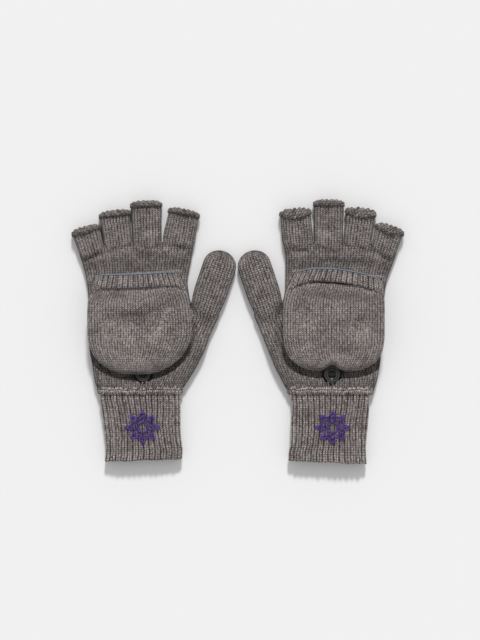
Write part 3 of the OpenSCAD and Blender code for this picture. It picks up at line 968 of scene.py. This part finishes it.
def make_hood(side):
    """The pocket that covers the fingers when it is flipped over."""
    reach = HOOD_REACH[side]
    tip = HOOD_MIDDLE[1] - reach
    down = np.sin(np.linspace(0, math.pi / 2, 50))
    rows = np.concatenate([
        np.arange(FOLD_AT[1], HOOD_MIDDLE[1], -ROW_STEP), HOOD_MIDDLE[1] - reach * down * 0.99985
    ])
    wale_count = 76
    count = wale_count * POINTS_PER_WALE
    half_h = 3.55
    outer = np.empty((len(rows), count, 3))
    middle = np.empty_like(outer)
    for i, y in enumerate(rows):
        left, right = (float(e) for e in hood_edges(side, y))
        half_w, centre = max((right - left) / 2, 0.2), (right + left) / 2
        close = min(1.0, max((y - tip) / 3, 0)) ** 0.5
        x, z = ring(count, half_w, max(half_h * close, 0.15), 2.7)
        x = x + centre
        upper = ramp(z / half_h, -0.3, 0.5)
        open_share = ramp(y, FOLD_AT[1] - 30, FOLD_AT[1])
        yy = y + open_share * ((fold_y(x) - FOLD_AT[1]) - upper * (BAND_LENGTH[side] - 1.5))
        outer[i] = xyz(x, yy, z)
        middle[i] = xyz(centre, yy, 0)
    x, y, z = outer[..., 0], outer[..., 1], outer[..., 2]
    top = np.clip(z / half_h, 0, 1)
    z += top * hood_lift(side, x, y) * ramp(y, tip, tip + 9)
    z += 0.5 * top
    under = np.clip(-z / half_h, 0, 1)
    z += 1.8 * under * ramp(inside_hood(side, x, y), 9, 0)
    outer[..., 2] += FOLD_Z
    bx, by = BUTTON_AT[side]
    near = hollow(x, y, (bx, by), (10.5, 10.5))
    lifted = HOOD_Z + 0.25 + 4.2 * ramp(near, 0.30, 0.48) * ramp(z - FOLD_Z, 1.0, -1.0)
    outer[..., 2] = np.clip(np.maximum(outer[..., 2], lifted), HOOD_Z + 0.2, HOOD_TOP)
    middle[..., 2] = FOLD_Z + 0.4
    for grid in (outer, middle):
        grid[..., 1] += HOOD_ARCH[side] * bell(grid[..., 0], bx, 7) * ramp(grid[..., 1], 36, 20)
    travel = np.concatenate([[0], np.cumsum(np.maximum(-np.diff(rows), 0.3))])
    pouch(side, "hood_pocket_knit", outer, stitch_columns(count), travel / COURSE, middle, FABRIC - 0.4,
          hood_knit, "hood", ("hood_back", "hood_front"))


def make_band(side):
    """The puffy ribbed band along the hood's free edge: a thick strip over the mouth of the pocket."""
    per_rib = 16
    count = BAND_RIBS * per_rib + 1
    u = np.linspace(0, 1, count)
    rows = np.linspace(0, 1, 19)
    skin = np.array([band_line(side, u, v, 0.0) for v in rows])
    under = np.array([band_line(side, u, v, FABRIC) for v in rows[::-2]])
    p = np.concatenate([skin, under])
    courses = np.concatenate([rows, rows[::-2]]) * BAND_LENGTH[side] / COURSE
    grid_piece(side, "hood_band_rib_knit", p, u * BAND_RIBS * 2.0, courses, band_knit_painted_light_and_shade, "hood",
               ("hood_rib_band",), "strip")


def band_line(side, u, v, deep):
    """One line of the band from its little-finger side to its thumb side.

    v is 0 at the free edge and 1 at the other, and deep is how far under the band's surface the line runs.
    """
    away = v * BAND_LENGTH[side]
    left, right = (float(e) for e in hood_edges(side, FOLD_AT[1] - away - 1))
    half_w, centre = (right - left) / 2 - 0.6 * (1 - v), (right + left) / 2
    x, z = evenly(u, half_w, BAND_HALF_H, 2.8, np.linspace(0, math.pi, 400))
    grow = np.clip(z / BAND_HALF_H, 0, 1)
    wobble = 0.1 * np.sin(u * 23 + 1.3) + 0.07 * np.sin(u * 51)
    rib = np.abs(np.sin(math.pi * (u * BAND_RIBS + wobble))) ** 0.7
    rounded = np.sin(math.pi * np.clip(0.08 + 0.84 * v, 0, 1)) ** 0.35
    z = z * (0.8 + 0.2 * rounded) + grow * (2.6 * rib * rounded - 2.0)
    z = z - deep * np.maximum(grow, 0.25)
    x = x * (1 - deep / half_w) + centre
    y = curve_through(BAND_EDGE[side], x) - away + 0.4 * (rib - 0.5) * (1 - 2 * v)
    return xyz(x, y, FOLD_Z + np.clip(z, -0.4, 4.6))


def make_trim(side):
    """The thin slate-blue edge yarn along the top of the band."""
    count = 170
    low, high = 0.045, 0.955
    u = np.linspace(low, high, count)
    path = band_line(side, u, 0.0, 0.2)
    left, right = (float(e) for e in hood_edges(side, FOLD_AT[1] - 1))
    across = np.clip(np.abs(path[:, 0] - (left + right) / 2) / ((right - left) / 2), 0, 1)
    path[:, 1] -= 0.7
    path[:, 2] = FOLD_Z + 3.7 * (1 - across**2.8) ** (1 / 2.8) + 0.15 * np.sin(u * 80)
    around_cord = np.linspace(0, 2 * math.pi, 8, endpoint=False)[None, :]
    twist = 1 + 0.16 * np.sin(np.arange(count)[:, None] * 1.9 + around_cord)
    ends = ramp(np.minimum(u - low, high - u), -0.004, 0.02)
    cord_piece(side, "hood_edge_yarn", path, 0.6, edge_yarn, "hood", ("hood_edge_trim",), 8,
               twist * ends[:, None])


def make_fold(side):
    """The stitched fold that joins the hood to the back of the hand."""
    half = 37.5
    across = np.linspace(-half, half, 150)
    rise = np.linspace(0, 1, 26)
    low, high = HAND_H - 3.4, HOOD_Z + 1.1
    front, back = -0.9, -2.6
    wave = 0.12 * np.sin(across * 2 * math.pi / WALE)
    lines = [(front, r) for r in rise] + [(back, r) for r in rise[::-1]]
    p = np.array([leaning(FOLD_AT, FOLD_LEAN, across, y + wave, low + (high - low) * r) for y, r in lines])
    courses = np.concatenate([rise, rise[::-1]]) * 8
    piece = grid_piece(side, "hood_fold_knit", p, across / WALE, courses, hood_knit, None,
                       ("hood_seam",), "strip")
    start, end = to_row(side, [(*FOLD_AT, low + 0.1), (*FOLD_AT, high - 0.1)])
    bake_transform(piece)


# ======== Button, loop and star

BUTTON_Z = HAND_H + 1
# The button's four holes, and how far each is from the middle, both ways
HOLE_R = 0.9
HOLE_OUT = 2.1


def make_button(side):
    """A four-hole button: a turned blank with a raised rim, drilled four times."""
    profile = ((0, 0), (6.6, 0), (7.3, 0.5), (BUTTON_R, 1.3), (7.35, 2.2), (6.9, 2.8), (6.4, 2.85),
               (6.0, 2.4), (5.5, 2.1), (5.0, 2.3), (4.6, 2.55), (4.2, 2.45), (3.8, 2.0), (3.4, 1.85),
               (0, 1.8))
    turns = 64
    body = bmesh.new()
    points = [body.verts.new((r, 0, z)) for r, z in profile]
    edges = [body.edges.new(pair) for pair in zip(points, points[1:])]
    axis = {"cent": (0, 0, 0), "axis": (0, 0, 1)}
    bmesh.ops.spin(body, geom=points + edges, angle=2 * math.pi, steps=turns, **axis)
    bmesh.ops.remove_doubles(body, verts=body.verts, dist=0.001)
    bmesh.ops.recalc_face_normals(body, faces=body.faces)
    blank = finished(body, "blank")
    drills = bmesh.new()
    for x in (-HOLE_OUT, HOLE_OUT):
        for y in (-HOLE_OUT, HOLE_OUT):
            made = bmesh.ops.create_cone(
                drills, cap_ends=True, segments=20, radius1=HOLE_R, radius2=HOLE_R, depth=8,
            )
            bmesh.ops.translate(drills, verts=made["verts"], vec=(x, y, 1))
    drill = finished(drills, "drill")
    cut = blank.modifiers.new("holes", "BOOLEAN")
    cut.operation, cut.object, cut.solver = "DIFFERENCE", drill, "EXACT"
    shape = blank.evaluated_get(bpy.context.evaluated_depsgraph_get()).to_mesh()
    p = np.array([v.co for v in shape.vertices])
    faces = [list(f.vertices) for f in shape.polygons]
    radius = np.hypot(p[:, 0], p[:, 1])
    uv = [np.stack([radius[f], p[f, 2]], -1) for f in faces]
    p += [*BUTTON_AT[side], BUTTON_Z]
    blank.to_mesh_clear()
    for o in (blank, drill):
        bpy.data.objects.remove(o)
    piece = build(side, "button_four_hole", p, faces, uv, button_plastic, "mitten",
                  ("button",))
    bpy.context.view_layer.objects.active = piece
    piece.select_set(True)
    bpy.ops.object.shade_smooth_by_angle(angle=math.radians(40))
    piece.select_set(False)


def finished(made, name):
    mesh = bpy.data.meshes.new(name)
    made.to_mesh(mesh)
    made.free()
    return put(name, mesh)


def make_button_thread(side):
    """Thread through the four holes, in two bars across the top, and the shank under the button."""
    bx, by = BUTTON_AT[side]
    top = BUTTON_Z + 2.0
    foot = HAND_H - 5.6
    for number, dy in enumerate((-HOLE_OUT, HOLE_OUT)):
        for strand, shift in enumerate((-0.32, 0.32)):
            t = np.linspace(0, 1, 30)
            x = bx + np.interp(t, (0, 0.18, 0.3, 0.7, 0.82, 1), (-1.9, -2.0, -1.6, 1.6, 2.0, 1.9))
            z = np.interp(t, (0, 0.18, 0.32, 0.68, 0.82, 1),
                          (foot, BUTTON_Z + 1.6, top, top, BUTTON_Z + 1.6, foot))
            path = xyz(x, by + dy + shift + 0.1 * np.sin(t * 9), z)
            replaces = ("button_thread",) if number + strand == 0 else ()
            cord_piece(side, f"button_thread_{2 * number + strand + 1}", path, 0.22, black_thread, "mitten",
                       replaces, 7)


# Where the loop's legs start to rise towards the hood's tip
LOOP_HINGE_Y = {"left": 15, "right": 19}


def make_loop(side):
    """The elastic loop on the hood's tip, round the button and pinched to a point below it."""
    bx, by = BUTTON_AT[side]
    radius = BUTTON_R + 0.75
    start_y = HOOD_MIDDLE[1] - HOOD_REACH[side] + 4.5
    hinge_y = LOOP_HINGE_Y[side]
    z = BUTTON_Z + 1.0
    angles = np.linspace(0, -math.pi, 60)
    pinch = 1 + 0.1 * bell(np.degrees(angles), -90, 18)
    arc = xyz(bx + radius * np.cos(angles), by + radius * np.sin(angles) * pinch, z)
    leg = np.linspace(start_y, by, 14)[:-1]
    right = xyz(bx + radius, leg, z + 3.6 * ramp(leg, hinge_y + 0.5, start_y))
    left = right[::-1] - [2 * radius, 0, 0]
    path = np.concatenate([right, arc, left])
    sides = 10
    step = np.arange(len(path))[:, None]
    braid = 1 + 0.07 * np.sin(step * 2.4 + np.linspace(0, 4 * math.pi, sides, endpoint=False)[None, :])
    piece = cord_piece(side, "button_loop_elastic", path, 0.65, elastic, None, ("button_loop",),
                       sides, braid)
    ends = to_row(side, [(bx, hinge_y + 0.9, z), (bx, hinge_y - 0.9, z)])
    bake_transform(piece)


def make_star(side):
    """A plain eight-pointed star sewn in open lines: stars inside one another, and a spoke to each point."""
    points, rings, sides = 8, 5, 6
    ground = HAND_H + 1.0
    verts, faces = [], []
    for scale in (0.97, 0.68, 0.38):
        reach = scale * STAR_R
        corners = [
            reach * (1 if i % 2 == 0 else 0.6) * np.array([math.cos(a), math.sin(a)])
            for i, a in enumerate(np.arange(2 * points) * math.pi / points)
        ]
        for i, corner in enumerate(corners):
            satin_strand(verts, faces, corner, corners[(i + 1) % len(corners)], ground, rings, sides)
    for a in np.arange(points) * 2 * math.pi / points:
        out = np.array([math.cos(a), math.sin(a)]) * STAR_R
        satin_strand(verts, faces, 0.72 * out, 0.9 * out, ground, rings, sides)
    p = np.array(verts) + [STAR_AT[0], STAR_AT[1], 0]
    build(side, "cuff_star_satin", p, faces, None, violet, "mitten", ("cuff_star",))


def satin_strand(verts, faces, a, b, ground, rings, sides):
    """One thread from a to b, arched up in its middle."""
    way = b - a
    length = float(np.linalg.norm(way))
    across = np.array([-way[1], way[0]]) / max(length, 1e-6)
    half_w, half_h = 0.62, 0.55
    start = len(verts)
    for i in range(rings):
        t = i / (rings - 1)
        centre = a + way * t
        rise = ground + 0.55 * math.sin(math.pi * t) ** 0.5
        for j in range(sides):
            angle = 2 * math.pi * j / sides
            c, s = math.cos(angle), math.sin(angle)
            verts.append((*(centre + across * half_w * c), rise + half_h * s))
    for i in range(rings - 1):
        for j in range(sides):
            n = (j + 1) % sides
            row, above = start + i * sides, start + (i + 1) * sides
            faces.append([row + j, row + n, above + n, above + j])
    faces.append([start + j for j in range(sides)][::-1])
    faces.append([start + (rings - 1) * sides + j for j in range(sides)])


# ======== The set

def make_floor():
    mesh = bpy.data.meshes.new("floor")
    half = 6.0
    corners = [(-half, -half, 0), (half, -half, 0), (half, half, 0), (-half, half, 0)]
    mesh.from_pydata(corners, [], [(0, 1, 2, 3)])
    mesh.materials.append(floor_material())
    put("floor", mesh)


def make_lights():
    """Soft light from past the fingertips, and an even pale surround."""
    lamp = bpy.data.lights.new("key", "SUN")
    lamp.energy = 2.5
    lamp.angle = math.radians(9)
    key = put("key", lamp)
    key.rotation_euler = Vector((-0.06, -0.78, -0.62)).to_track_quat("-Z", "Y").to_euler()
    world = bpy.data.worlds.new("surround")
    world.use_nodes = True
    surround = world.node_tree.nodes["Background"]
    surround.inputs["Color"].default_value = (1.0, 1.0, 1.0, 1.0)
    surround.inputs["Strength"].default_value = 0.6
    bpy.context.scene.world = world
    bpy.context.scene.view_settings.view_transform = "Standard"


def make_camera():
    """Straight above the pair, with a long lens. view_l is the length of floor the picture takes in."""
    view_l = 0.576
    height = 2.4
    lens = bpy.data.cameras.new("camera")
    lens.sensor_width = 36
    lens.lens = lens.sensor_width * height / view_l
    lens.clip_end = 20
    camera = put("camera", lens)
    camera.location = (0.0022, 0.0111, height)
    bpy.context.scene.camera = camera


make_camera()
make_lights()
make_floor()
for side in SIDES:
    make_hand(side)
    make_cuff(side)
    make_wrist_seam(side)
    for finger in FINGERS:
        make_finger(side, finger)
    make_thumb(side)
    make_hood(side)
    make_band(side)
    make_trim(side)
    make_fold(side)
    make_button(side)
    make_button_thread(side)
    make_loop(side)
    make_star(side)
